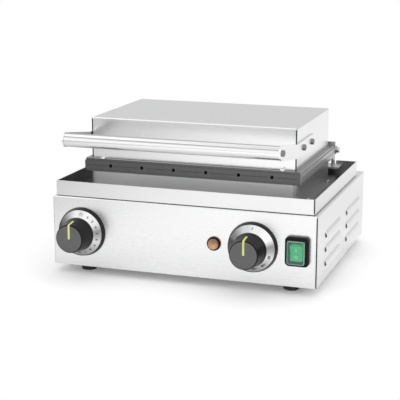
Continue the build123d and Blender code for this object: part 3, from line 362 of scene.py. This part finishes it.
def polished(name, colour, roughness):
    """Polished metal with faint drawing lines and smears."""
    finish = Finish(name, colour, 1.0, roughness)
    lines = drawn_lines(finish)
    smears = finish.noise(waves=30.0, detail=2.0)
    finish.tint(lines, low=0.96, high=1.03)
    finish.roughen(finish.times(lines, smears), below=0.0, above=0.22)
    finish.bump(lines, height=5 * MICRON, strength=0.3)
    return finish.material


def spun(name, colour, roughness, centre):
    """A spun metal cone: fine circles about the dial's centre, with painted reflections in soft rays about
    it.
    """
    finish = Finish(name, colour, 1.0, roughness)
    across = finish.maths("SUBTRACT", finish.part(finish.place, "X"), centre.x)
    up = finish.maths("SUBTRACT", finish.part(finish.place, "Z"), centre.z)
    radius = finish.maths("SQRT", finish.maths("ADD", finish.times(across, across), finish.times(up, up)))
    circles = finish.add("ShaderNodeTexNoise", noise_dimensions="1D")
    circles.inputs["Scale"].default_value = 2600.0
    circles.inputs["Detail"].default_value = 3.0
    finish.link(radius, circles.inputs["W"])
    lines = circles.outputs["Fac"]
    # Painted reflection: the colour follows the ray table by angle
    angle = finish.maths("ARCTAN2", across, up)
    rays = finish.add("ShaderNodeValToRGB")
    finish.link(finish.maths("ADD", finish.maths("DIVIDE", angle, 2 * math.pi), 0.5), rays.inputs["Fac"])
    stops = rays.color_ramp.elements
    while len(stops) < len(PAINTED_SPIN_REFLECTIONS):
        stops.new(1.0)
    for stop, (degrees, level) in zip(stops, PAINTED_SPIN_REFLECTIONS):
        stop.position = degrees / 360 + 0.5
        stop.color = (level, level, level, 1)
    light = finish.times(rays.outputs["Color"], finish.ramp(lines, 0.9, 1.05))
    finish.blend(light, (0, 0, 0), colour)
    finish.roughen(lines, below=0.05, above=0.1)
    finish.bump(lines, height=10 * MICRON, strength=0.4)
    return finish.material


def coated(name, colour, roughness):
    """Cast plate under a dark non-stick coat: fine orange peel, slight mottling, and flanks made paler by
    painted light.
    """
    finish = Finish(name, colour, 0.0, roughness)
    finish.put({"Coat Weight": 1.0, "Coat Roughness": 0.22, "Coat IOR": 1.7})
    peel = finish.noise(waves=700.0, detail=3.0)
    mottle = finish.noise(waves=160.0, detail=4.0, roughness=0.7)
    # Painted light: the side faces are made paler
    flank = finish.step(finish.absolute(finish.normal("X")), 0.6, 0.9)
    pale = finish.larger(finish.times(flank, finish.ramp(mottle, 0.6, 1.2)), finish.ramp(mottle, -0.06, 0.12))
    finish.blend(pale, colour, [c + 0.17 for c in colour])
    finish.roughen(mottle, below=0.06, above=0.1)
    finish.bump(peel, height=60 * MICRON, strength=0.6)
    return finish.material


def knob_plastic(name, side, roughness, face):
    """Knob whose end is finely matted, and paler than its smooth flank by a painted sheen."""
    finish = Finish(name, side, 0.0, roughness)
    finish.put({"Specular IOR Level": 0.12})
    # Painted sheen: the end facing the front takes the paler face colour
    end = finish.step(finish.times(finish.normal("Y"), -1.0), 0.93, 0.985)
    handling = finish.noise(waves=70.0, detail=3.0)
    pores = finish.noise(waves=2400.0, detail=2.0)
    finish.blend(finish.times(end, finish.ramp(handling, 0.86, 1.0)), side, face)
    finish.roughen(end, below=0.04, above=0.24)
    finish.bump(finish.times(pores, end), height=20 * MICRON, strength=0.5)
    return finish.material


def plastic(name, colour, roughness, pore=1600.0, depth=20 * MICRON, gloss=0.5):
    """Moulded plastic or rubber with a fine pored skin."""
    finish = Finish(name, colour, 0.0, roughness)
    finish.put({"Specular IOR Level": gloss})
    pores = finish.noise(waves=pore, detail=2.0)
    handling = finish.noise(waves=45.0, detail=3.0)
    finish.tint(handling, low=0.85, high=1.2)
    finish.roughen(handling, below=0.05, above=0.08)
    finish.bump(pores, height=depth, strength=0.5)
    return finish.material


def faceted(name, colour, roughness, transmission, glow):
    """Translucent lens with prism facets moulded in its back, and painted light: brighter towards its lower
    side and patterned by the facets.
    """
    finish = Finish(name, colour, 0.0, roughness)
    finish.put({"Transmission Weight": transmission, "IOR": 1.5, "Coat Weight": 0.6,
                "Emission Color": (*colour, 1), "Emission Strength": glow})
    cells = finish.add("ShaderNodeTexVoronoi", feature="F1")
    cells.inputs["Scale"].default_value = 420.0
    finish.link(finish.place, cells.inputs["Vector"])
    facets = cells.outputs["Distance"]
    low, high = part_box("lamp_lens")
    # Painted light: brighter low on the lens and in a cell pattern over the facets
    height = finish.step(finish.part(finish.place, "Z"), low.z, high.z)
    shade = finish.maths("ADD", finish.times(height, 0.65), finish.times(finish.step(facets, 0.1, 0.6), 0.35))
    finish.tint(shade, low=1.5, high=0.18)
    finish.roughen(facets, below=0.0, above=0.15)
    finish.bump(facets, height=600 * MICRON, strength=0.7)
    return finish.material


def clear(name, colour, roughness, transmission, glow=0.0, ripple=0.3):
    """Translucent plastic; a little glow stands in for light scattered inside it."""
    finish = Finish(name, colour, 0.0, roughness)
    finish.put({"Transmission Weight": transmission, "IOR": 1.45})
    if glow:
        finish.put({"Emission Color": (*colour, 1), "Emission Strength": glow})
    ripples = finish.noise(waves=180.0, detail=2.0)
    finish.roughen(ripples, below=0.0, above=0.08)
    finish.bump(ripples, height=50 * MICRON, strength=ripple)
    return finish.material


def wool(name, colour):
    """Mineral wool: matted fibres."""
    finish = Finish(name, colour, 0.0, 0.95)
    fibres = finish.noise(waves=700.0, detail=6.0, roughness=0.8)
    finish.tint(fibres, low=0.7, high=1.2)
    finish.bump(fibres, height=800 * MICRON, strength=0.8)
    return finish.material


MATERIALS = {
    "brushed_stainless": brushed("brushed_stainless", SHEET_COLOUR, roughness=0.27),
    "housing_stainless": brushed("housing_stainless", SHEET_COLOUR, roughness=0.27, corner=HOUSING_SEAM_SHADE),
    "lid_stainless": brushed("lid_stainless", SHEET_COLOUR, roughness=0.24, corner=LID_SEAM_SHADE),
    "tray_stainless": tray_steel("tray_stainless", (0.86, 0.86, 0.865), roughness=0.30),
    "frame_stainless": frame_steel("frame_stainless", (0.94, 0.94, 0.945), roughness=0.30),
    "arm_stainless": arm_steel("arm_stainless", SHEET_COLOUR, roughness=0.25),
    "tube_stainless": tube_steel("tube_stainless", (0.93, 0.93, 0.935), roughness=0.12),
    "plate_coating": coated("plate_coating", (0.018, 0.018, 0.019), roughness=0.42),
    "inner_steel": brushed("inner_steel", (0.45, 0.45, 0.46), roughness=0.45, fine=800.0),
    "bracket_steel": brushed("bracket_steel", (0.60, 0.60, 0.61), roughness=0.38, fine=900.0),
    "screw_steel": polished("screw_steel", (0.62, 0.62, 0.63), roughness=0.2),
    "bright_screw": polished("bright_screw", (0.88, 0.88, 0.885), roughness=0.12),
    "socket_steel": polished("socket_steel", (0.24, 0.24, 0.245), roughness=0.3),
    "black_plastic": plastic("black_plastic", BLACK, roughness=0.28, gloss=0.15),
    "knob_black": knob_plastic("knob_black", BLACK, roughness=0.34, face=(0.135, 0.135, 0.137)),
    "timer_spun": spun("timer_spun", SCALE_COLOUR, roughness=0.26, centre=middle("timer_scale")),
    "thermostat_spun": spun("thermostat_spun", SCALE_COLOUR, roughness=0.26,
                            centre=middle("thermostat_scale")),
    "scale_ink": plastic("scale_ink", (0.015, 0.015, 0.017), roughness=0.6, gloss=0.2),
    "pointer_green": plastic("pointer_green", (0.62, 0.66, 0.20), roughness=0.35),
    "amber_lens": faceted("amber_lens", (0.72, 0.36, 0.15), roughness=0.12, transmission=0.2, glow=0.12),
    "rocker_green": clear("rocker_green", (0.14, 0.68, 0.42), roughness=0.22, transmission=0.1, glow=0.22),
    "switch_mark": clear("switch_mark", (0.80, 1.0, 0.90), roughness=0.4, transmission=0.0, glow=0.25),
    "clear_boot": clear("clear_boot", (0.50, 0.85, 0.68), roughness=0.03, transmission=0.94, ripple=0.05),
    "boot_bead": clear("boot_bead", (0.50, 0.66, 0.58), roughness=0.15, transmission=0.35, glow=0.03),
    "painted_seam_shade": plastic("painted_seam_shade", (0.02, 0.02, 0.02), roughness=0.7),
    "black_rubber": plastic("black_rubber", (0.02, 0.02, 0.02), roughness=0.6, pore=900.0, depth=50 * MICRON),
    "mineral_wool": wool("mineral_wool", (0.72, 0.68, 0.55)),
    "gland_plastic": plastic("gland_plastic", (0.03, 0.03, 0.032), roughness=0.5),
    "control_case": plastic("control_case", (0.22, 0.22, 0.23), roughness=0.5),
    "terminal_plastic": plastic("terminal_plastic", (0.78, 0.75, 0.66), roughness=0.45),
}
NODE_FINISH = {
    "housing": "housing_stainless",
    "lid_cover": "lid_stainless",
    "plate_frame": "frame_stainless",
    "handle_tube": "tube_stainless",
    "handle_arm_left": "arm_stainless",
    "handle_arm_right": "arm_stainless",
    "handle_screws": "socket_steel",
    "ledge_screws": "bright_screw",
    "timer_scale": "timer_spun",
    "thermostat_scale": "thermostat_spun",
    "timer_knob": "knob_black",
    "thermostat_knob": "knob_black",
}


def dress_frame():
    """Gives every CAD node its own finish, or else the one of its material slot."""
    for row in frame["record"]["subparts"]:
        node = frame["nodes"][row["node"]]
        node.data.materials.clear()
        node.data.materials.append(MATERIALS[NODE_FINISH.get(row["node"], row["material_slot"])])


# Bars, beads and lettering for the detail pieces
RIGHTWARDS = Vector((1, 0, 0))
INWARDS = Vector((0, 1, 0))
UPWARDS = Vector((0, 0, 1))
INK_THICKNESS = 0.02
INK_SPREAD = 0.03
SAME_PLACE = 1e-7


def add_piece(name, bm, body, finish, edge=0.0):
    """Turns a bmesh into a piece that rides on a body."""
    mesh = bpy.data.meshes.new(name)
    bmesh.ops.recalc_face_normals(bm, faces=bm.faces)
    bm.to_mesh(mesh)
    bm.free()
    piece = bpy.data.objects.new(name, mesh)
    bpy.context.scene.collection.objects.link(piece)
    mesh.materials.append(MATERIALS[finish])
    if edge:
        bevel = piece.modifiers.new("edge", "BEVEL")
        bevel.width = edge
        bevel.segments = 2
    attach(piece, body)


def axes(origin, across, up, out):
    """A matrix whose X, Y and Z axes are the three directions."""
    matrix = Matrix((across, up, out)).transposed().to_4x4()
    matrix.translation = origin
    return matrix


def add_bar(bm, size, matrix):
    """A small bar with its middle at the matrix's origin."""
    corners = bmesh.ops.create_cube(bm, size=1.0)["verts"]
    bmesh.ops.transform(bm, matrix=matrix @ Matrix.Diagonal((*size, 1)), verts=corners)


def add_text(bm, text, height, matrix):
    """Flat lettering, raised a little, with its middle at the matrix's origin."""
    curve = bpy.data.curves.new("lettering", "FONT")
    curve.body = text
    curve.size = height
    curve.extrude = height * INK_THICKNESS
    curve.offset = height * INK_SPREAD
    curve.align_x = "CENTER"
    curve.align_y = "CENTER"
    holder = bpy.data.objects.new("lettering", curve)
    mesh = bpy.data.meshes.new_from_object(holder)
    mesh.transform(matrix)
    bm.from_mesh(mesh)
    bpy.data.meshes.remove(mesh)
    bpy.data.objects.remove(holder)
    bpy.data.curves.remove(curve)


def oval(half_width, half_height, corner, steps=8):
    """Points round a rounded rectangle, in order."""
    points = []
    for quarter in range(4):
        sx = (1, -1, -1, 1)[quarter] * (half_width - corner)
        sy = (1, 1, -1, -1)[quarter] * (half_height - corner)
        for i in range(steps + 1):
            turn = math.pi / 2 * (quarter + i / steps)
            points.append((sx + corner * math.cos(turn), sy + corner * math.sin(turn)))
    return [p for i, p in enumerate(points) if math.dist(p, points[i - 1]) > SAME_PLACE]


def add_bead(bm, matrix, points, radius, sides=8):
    """A round bead that follows a closed loop of points in the matrix's plane."""
    rings = []
    for i, (x, y) in enumerate(points):
        before, after = points[i - 1], points[(i + 1) % len(points)]
        along = Vector((after[0] - before[0], after[1] - before[1], 0)).normalized()
        outward = Vector((along.y, -along.x, 0))
        ring = []
        for j in range(sides):
            tilt = 2 * math.pi * j / sides
            spot = Vector((x, y, 0)) + outward * radius * math.cos(tilt)
            spot.z += radius * math.sin(tilt)
            ring.append(bm.verts.new(matrix @ spot))
        rings.append(ring)
    for i, ring in enumerate(rings):
        following = rings[(i + 1) % len(rings)]
        for j in range(sides):
            k = (j + 1) % sides
            bm.faces.new((ring[j], following[j], following[k], ring[k]))


# Numbers printed on the dials
SCALE_OUTER = 32.3 * MM
SCALE_INNER = 23.0 * MM
SCALE_RISE = 7.0 * MM
SCALE_SLOPE = math.atan2(SCALE_RISE, SCALE_OUTER - SCALE_INNER)
MARK_RADIUS = 27.2 * MM
MARK_HEIGHT = 4.8 * MM
INK_PROUD = 0.02 * MM
START_MARK = (0.9 * MM, 4.2 * MM, 0.04 * MM)
START_MARK_DEGREES = 4
START_MARK_OUT = 1 * MM
START_MARK_SLANT = -0.3


def dial_numbers(first, step, values):
    """Each number's angle in degrees, clockwise from the top, and its text."""
    return [(first + step * i, str(value)) for i, value in enumerate(values)]


def scale_place(centre, degrees, radius):
    """A place on a dial's cone, by the angle clockwise from the top, with its up axis outwards."""
    angle = math.radians(degrees)
    outward = Vector((math.sin(angle), 0, math.cos(angle)))
    across = Vector((math.cos(angle), 0, -math.sin(angle)))
    up = outward * math.cos(SCALE_SLOPE) + INWARDS * math.sin(SCALE_SLOPE)
    out = across.cross(up)
    lift = SCALE_RISE + (SCALE_OUTER - radius) * math.tan(SCALE_SLOPE)
    origin = Vector((centre.x, FRONT_Y - lift, centre.z)) + outward * radius
    return axes(origin + out * INK_PROUD, across, up, out)


def make_scale_marks(node, marks):
    """Printed numbers, each at its angle, and a slanted start mark on a dial's cone."""
    centre = middle(node)
    bm = bmesh.new()
    for degrees, text in marks:
        add_text(bm, text, MARK_HEIGHT, scale_place(centre, degrees, MARK_RADIUS))
    start = scale_place(centre, START_MARK_DEGREES, MARK_RADIUS + START_MARK_OUT)
    add_bar(bm, START_MARK, start @ Matrix.Rotation(START_MARK_SLANT, 4, "Z"))
    add_piece(node + "_marks", bm, "base", "scale_ink")


# Marks on the switch's rocker and the rim of its boot
ROCKER_TILT = math.radians(7.0)
ROCKER_HALF = 10.5 * MM
ROCKER_PROUD = 12.0 * MM
ROCKER_DIP = 2.0 * MM
ROCKER_PIVOT_DEPTH = 2.0 * MM
ROCKER_SLOPE = math.atan2(ROCKER_DIP, ROCKER_HALF)
ROCKER_MARK_UP = 5.2 * MM
ROCKER_MARK_PROUD = 0.05 * MM
ON_MARK = (1.1 * MM, 5.0 * MM, 0.2 * MM)
OFF_MARK_RADIUS = 1.9 * MM
OFF_MARK_BEAD = 0.35 * MM
BEAD_RADIUS = 0.6 * MM
BEAD_INSET = 0.7 * MM
BEAD_DEPTH = 0.75 * MM
BEAD_CORNER = 2.2 * MM


def make_switch_marks():
    """The bar and the ring moulded in the rocker's two faces."""
    pivot = Vector((middle("rocker").x, FRONT_Y + ROCKER_PIVOT_DEPTH, middle("switch_frame").z))
    up = Vector((0, -math.sin(ROCKER_TILT), math.cos(ROCKER_TILT)))
    out = Vector((0, -math.cos(ROCKER_TILT), -math.sin(ROCKER_TILT)))
    face_middle = ROCKER_PROUD - ROCKER_DIP / 2
    bm = bmesh.new()
    for side in (1, -1):
        face_up = up * math.cos(ROCKER_SLOPE) + out * math.sin(ROCKER_SLOPE) * side
        face_out = RIGHTWARDS.cross(face_up)
        origin = pivot + up * ROCKER_MARK_UP * side + out * face_middle + face_out * ROCKER_MARK_PROUD
        place = axes(origin, RIGHTWARDS, face_up, face_out)
        if side > 0:
            add_bar(bm, ON_MARK, place)
        else:
            ring = oval(OFF_MARK_RADIUS, OFF_MARK_RADIUS, OFF_MARK_RADIUS)
            add_bead(bm, place, ring, OFF_MARK_BEAD)
    add_piece("rocker_marks", bm, "rocker", "switch_mark")


def make_boot_bead():
    """The thicker moulded rim round the front of the switch's clear boot."""
    low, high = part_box("switch_boot")
    origin = Vector(((low.x + high.x) / 2, low.y + BEAD_DEPTH, (low.z + high.z) / 2))
    loop = oval((high.x - low.x) / 2 - BEAD_INSET, (high.z - low.z) / 2 - BEAD_INSET, BEAD_CORNER)
    bm = bmesh.new()
    add_bead(bm, axes(origin, RIGHTWARDS, UPWARDS, -INWARDS), loop, BEAD_RADIUS)
    add_piece("boot_bead", bm, "base", "boot_bead")


# Painted shade: dark strips in the gaps where plates and sheets meet
STICK_COUNT = 6
STICK_PITCH = 47.1 * MM
STICK_HALF = 5.0 * MM
PLATE_CORNER = 5.0 * MM
PARTING_LINE = 0.6 * MM
PARTING_PROUD = 0.05 * MM
SEAM_WIDTH = 0.9 * MM
SEAM_FILL = 0.96
SEAM_END = 0.2 * MM
SEAM_EDGE = 0.08 * MM
CORNER_FOLD = 2.6 * MM


def make_parting():
    """Painted shade in the gap where the two plates meet: a dark line, left out at the stick holes."""
    low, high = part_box("lower_plate")
    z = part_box("upper_plate")[0].z - PARTING_LINE / 2
    bm = bmesh.new()
    holes = [(i - (STICK_COUNT - 1) / 2) * STICK_PITCH for i in range(STICK_COUNT)]
    edges = [low.x + PLATE_CORNER]
    for x in holes:
        edges += [x - STICK_HALF, x + STICK_HALF]
    edges.append(high.x - PLATE_CORNER)
    for left, right in zip(edges[::2], edges[1::2]):
        size = (right - left, 2 * PARTING_PROUD, PARTING_LINE)
        add_bar(bm, size, Matrix.Translation(((left + right) / 2, low.y, z)))
    for x in (low.x, high.x):
        size = (2 * PARTING_PROUD, high.y - low.y - 2 * PLATE_CORNER, PARTING_LINE)
        add_bar(bm, size, Matrix.Translation((x, (low.y + high.y) / 2, z)))
    add_piece("plate_parting_shade", bm, "base", "painted_seam_shade")


def make_seams():
    """Painted shade in the joint gaps where the front sheet laps over the sides; the left ones of the base
    are closed.
    """
    spans = {"housing": (BODY_HALF, FRONT_Y, HOUSING_LOW.z, HOUSING_HIGH.z - CORNER_FOLD, "base"),
             "tray": (TRAY_HIGH.x, TRAY_LOW.y, TRAY_LOW.z + CORNER_FOLD, TRAY_HIGH.z, "base"),
             "lid": (LID_HIGH.x, LID_LOW.y, LID_LOW.z, LID_HIGH.z - CORNER_FOLD, "lid")}
    depth = SHEET / 2
    for name, (half, front, low, high, body) in spans.items():
        for side, suffix in ((-1, "_seam_left"), (1, "_seam_right")):
            bm = bmesh.new()
            x = side * (half - SHEET - SEAM_WIDTH / 2)
            place = Matrix.Translation((x, front + SHEET - depth / 2, (low + high) / 2))
            add_bar(bm, (SEAM_WIDTH * SEAM_FILL, depth, high - low - 2 * SEAM_END), place)
            # Painted shade: dark strips, except the closed left ones of the base in bare sheet
            closed = side < 0 and body == "base"
            finish = "brushed_stainless" if closed else "painted_seam_shade"
            add_piece(name + suffix, bm, body, finish, SEAM_EDGE)


def make_details():
    make_scale_marks("timer_scale", dial_numbers(first=10, step=19, values=range(1, 16)))
    make_scale_marks("thermostat_scale", dial_numbers(first=110, step=29, values=range(50, 350, 50)))
    make_switch_marks()
    make_boot_bead()
    make_parting()
    make_seams()


# Camera and lamps
CAMERA_AZIMUTH = math.radians(18.99)
CAMERA_ELEVATION = math.radians(13.33)
CAMERA_DISTANCE = 1.7244
CAMERA_LENS = 104.12
CAMERA_SENSOR = 36.0
CAMERA_REACH = 30.0
CAMERA_TARGET = Vector((-0.0245, BODY_MID_Y, HOUSING_LOW.z + 0.0704))
LAMP_AIM = Vector((0, BODY_MID_Y, 0.1))


def make_camera():
    data = bpy.data.cameras.new("camera")
    camera = bpy.data.objects.new("camera", data)
    bpy.context.scene.collection.objects.link(camera)
    flat = math.cos(CAMERA_ELEVATION)
    back = Vector((math.sin(CAMERA_AZIMUTH) * flat, -math.cos(CAMERA_AZIMUTH) * flat,
                   math.sin(CAMERA_ELEVATION)))
    camera.location = CAMERA_TARGET + back * CAMERA_DISTANCE
    camera.rotation_euler = (-back).to_track_quat("-Z", "Y").to_euler()
    data.sensor_width = CAMERA_SENSOR
    data.lens = CAMERA_LENS
    data.clip_end = CAMERA_REACH
    bpy.context.scene.camera = camera


def area_lamp(name, place, size, power):
    """A soft rectangular lamp, in metres and watts, that looks at the object."""
    data = bpy.data.lights.new(name, "AREA")
    data.shape = "RECTANGLE"
    data.size, data.size_y = size
    data.energy = power
    lamp = bpy.data.objects.new(name, data)
    lamp.location = place
    lamp.rotation_euler = (LAMP_AIM - Vector(place)).to_track_quat("-Z", "Y").to_euler()
    bpy.context.scene.collection.objects.link(lamp)


def make_light():
    area_lamp("top_softbox", place=(0.1, -0.1, 1.9), size=(2.5, 2.3), power=8.5)
    area_lamp("left_softbox", place=(-1.9, -1.0, 1.0), size=(2.1, 2.1), power=7.0)
    area_lamp("right_softbox", place=(1.9, -0.6, 1.1), size=(2.1, 2.1), power=9.0)


# World: the shares by which gloss sees it dimmed, and the stretch of the direction where each sets in
AMBIENT = 0.82
GLOSS_GAIN = 0.1
BACK_DIMMING = 0.44
BACK_SHARE = 0.8
BACK_RANGE = (-0.1, 0.7)
LOW_RANGE = (0.35, 0.8)
LEFT_DIMMING = 0.45
LEFT_RANGE = (0.55, 0.95)
HIGH_DIMMING = 0.85
HIGH_RANGE = (0.85, 0.97)
GAP_DIMMING = 0.3
GAP_RISE = (0.72, 0.80)
GAP_FALL = (0.86, 0.93)


def seen_rays(tree):
    """1 for rays that show the background, off the camera, gloss and glass, and then 1 for gloss alone."""
    rays = tree.add("ShaderNodeLightPath").outputs
    glossy = rays["Is Glossy Ray"]
    seen = tree.larger(tree.larger(rays["Is Camera Ray"], glossy), rays["Is Transmission Ray"])
    return seen, glossy


def backdrop(tree, strength):
    """A white background."""
    node = tree.add("ShaderNodeBackground")
    node.inputs["Color"].default_value = (1, 1, 1, 1)
    tree.feed(strength, node.inputs["Strength"])
    return node.outputs["Background"]


def make_world():
    """White to the camera; gloss shows a studio that is dimmer low at the back, at the left and overhead."""
    world = bpy.data.worlds.new("studio")
    world.use_nodes = True
    world.node_tree.nodes.clear()
    tree = Tree(world.node_tree)
    seen, glossy = seen_rays(tree)
    towards = tree.add("ShaderNodeTexCoord").outputs["Generated"]
    x = tree.part(towards, "X")
    y = tree.part(towards, "Y")
    z = tree.part(towards, "Z")
    forwards = tree.step(tree.times(y, -1.0), *BACK_RANGE)
    back = tree.inverse(tree.times(forwards, BACK_SHARE))
    low = tree.inverse(tree.step(z, *LOW_RANGE))
    left = tree.step(tree.times(x, -1.0), *LEFT_RANGE)
    high = tree.step(z, *HIGH_RANGE)
    gap = tree.band(z, GAP_RISE, GAP_FALL)
    dim = tree.times(back, low, BACK_DIMMING)
    for zone, dimming in ((left, LEFT_DIMMING), (high, HIGH_DIMMING), (gap, GAP_DIMMING)):
        dim = tree.larger(dim, tree.times(zone, dimming))
    shown = tree.inverse(tree.times(tree.maths("SUBTRACT", dim, GLOSS_GAIN), glossy))
    surface = tree.either(seen, backdrop(tree, AMBIENT), backdrop(tree, shown))
    tree.link(surface, tree.add("ShaderNodeOutputWorld").inputs["Surface"])
    bpy.context.scene.world = world


# Floor: ranges are in metres from the middle, and the dimmings and gains are what gloss sees
FLOOR_HALF = 6.0
FLOOR_ALBEDO = 0.94
FLOOR_ROUGHNESS = 0.9
FLOOR_GLOW = 0.10
SHADOW_REACH = (0.24, 0.42)
FLOOR_LEFT_DIMMING = 0.75
FLOOR_LEFT_RANGE = (0.1, 0.7)
FLOOR_RIGHT_DIMMING = 0.15
FLOOR_RIGHT_RANGE = (0.35, 0.8)
FLOOR_REAR_DIMMING = 0.10
FLOOR_REAR_RISE = (0.05, 0.3)
FLOOR_REAR_FALL = (0.5, 0.8)
FLOOR_FRONT_GAIN = 0.10
FLOOR_FRONT_RANGE = (0.0, 0.3)
FLOOR_FAR_GAIN = 0.16
FLOOR_FAR_RANGE = (0.65, 0.95)
NEAR_LEFT_DIMMING = 0.22
NEAR_LEFT_RANGE = (0.0, 0.35)


def make_floor():
    """A pale floor that takes the object's shadow and is plain white further out, uneven only in gloss."""
    finish = Finish("floor_white", (FLOOR_ALBEDO, FLOOR_ALBEDO, FLOOR_ALBEDO), 0.0, FLOOR_ROUGHNESS)
    seen, glossy = seen_rays(finish)
    x = finish.part(finish.place, "X")
    y = finish.part(finish.place, "Y")
    leftwards = finish.times(x, -1.0)
    forwards = finish.times(y, -1.0)
    left = finish.times(finish.step(leftwards, *FLOOR_LEFT_RANGE), FLOOR_LEFT_DIMMING)
    right = finish.times(finish.step(x, *FLOOR_RIGHT_RANGE), FLOOR_RIGHT_DIMMING)
    rear = finish.times(finish.band(y, FLOOR_REAR_RISE, FLOOR_REAR_FALL), FLOOR_REAR_DIMMING)
    front = finish.times(finish.step(forwards, *FLOOR_FRONT_RANGE), FLOOR_FRONT_GAIN)
    far_front = finish.times(finish.step(forwards, *FLOOR_FAR_RANGE), FLOOR_FAR_GAIN)
    dim = finish.larger(finish.larger(left, rear), right)
    dim = finish.maths("SUBTRACT", dim, finish.maths("ADD", front, far_front))
    white = finish.add("ShaderNodeEmission")
    finish.link(finish.inverse(finish.times(dim, glossy)), white.inputs["Strength"])

    near = finish.times(finish.step(leftwards, *NEAR_LEFT_RANGE), glossy, NEAR_LEFT_DIMMING)
    finish.link(finish.maths("SUBTRACT", FLOOR_ALBEDO, near), finish.shader.inputs["Base Color"])
    finish.put({"Emission Color": (1, 1, 1, 1)})
    finish.link(finish.times(finish.inverse(glossy), FLOOR_GLOW), finish.shader.inputs["Emission Strength"])

    distance = finish.add("ShaderNodeVectorMath", operation="LENGTH")
    finish.link(finish.place, distance.inputs[0])
    away = finish.times(finish.step(distance.outputs["Value"], *SHADOW_REACH), seen)
    surface = finish.either(away, finish.shader.outputs["BSDF"], white.outputs["Emission"])
    finish.link(surface, finish.tree.nodes["Material Output"].inputs["Surface"])

    mesh = bpy.data.meshes.new("floor")
    corners = [(x * FLOOR_HALF, y * FLOOR_HALF, 0) for x, y in ((-1, -1), (1, -1), (1, 1), (-1, 1))]
    mesh.from_pydata(corners, [], [(0, 1, 2, 3)])
    mesh.materials.append(finish.material)
    floor = bpy.data.objects.new("floor", mesh)
    bpy.context.scene.collection.objects.link(floor)


make_camera()
make_light()
make_world()
make_floor()
dress_frame()
make_details()

scene = bpy.context.scene
scene.view_settings.view_transform = "Standard"
